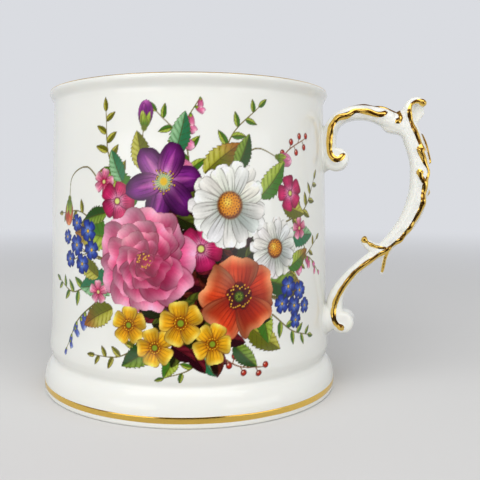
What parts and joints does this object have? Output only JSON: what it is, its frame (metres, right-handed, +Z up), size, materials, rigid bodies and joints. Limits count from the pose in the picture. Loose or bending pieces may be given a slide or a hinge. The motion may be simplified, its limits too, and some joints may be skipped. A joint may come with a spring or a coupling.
{
  "type": "shaving mug",
  "caption": "Straight-sided glazed china shaving mug on a spreading foot, with a pierced soap shelf inside, a gilded scroll handle and fired gold lines.",
  "frame": {"origin": "centre of the foot ring, on the plane that the mug stands on", "axes": "+Z up along the cup's axis, +X towards the handle"},
  "size_m": [0.1187, 0.092, 0.0901],
  "materials": {
    "glazed_china": "clear glossy glaze over white bone china; the foot ring is left unglazed",
    "fired_gold": "bright burnished gold film fired over the glaze"
  },
  "bodies": {
    "root": {"mug_body": "glazed_china", "soap_shelf": "glazed_china", "handle": "glazed_china", "rim_gilt_line": "fired_gold", "foot_gilt_band": "fired_gold", "stem_gilding": "fired_gold", "arch_gilding": "fired_gold", "arch_end_gilding": "fired_gold", "volute_gilding": "fired_gold", "top_curl_gilding": "fired_gold", "inner_spur_gilding": "fired_gold", "outer_spur_gilding": "fired_gold", "arch_crest_gilding": "fired_gold", "stem_crest_gilding": "fired_gold", "back_bead_gilding": "fired_gold"}
  },
  "joints": []
}
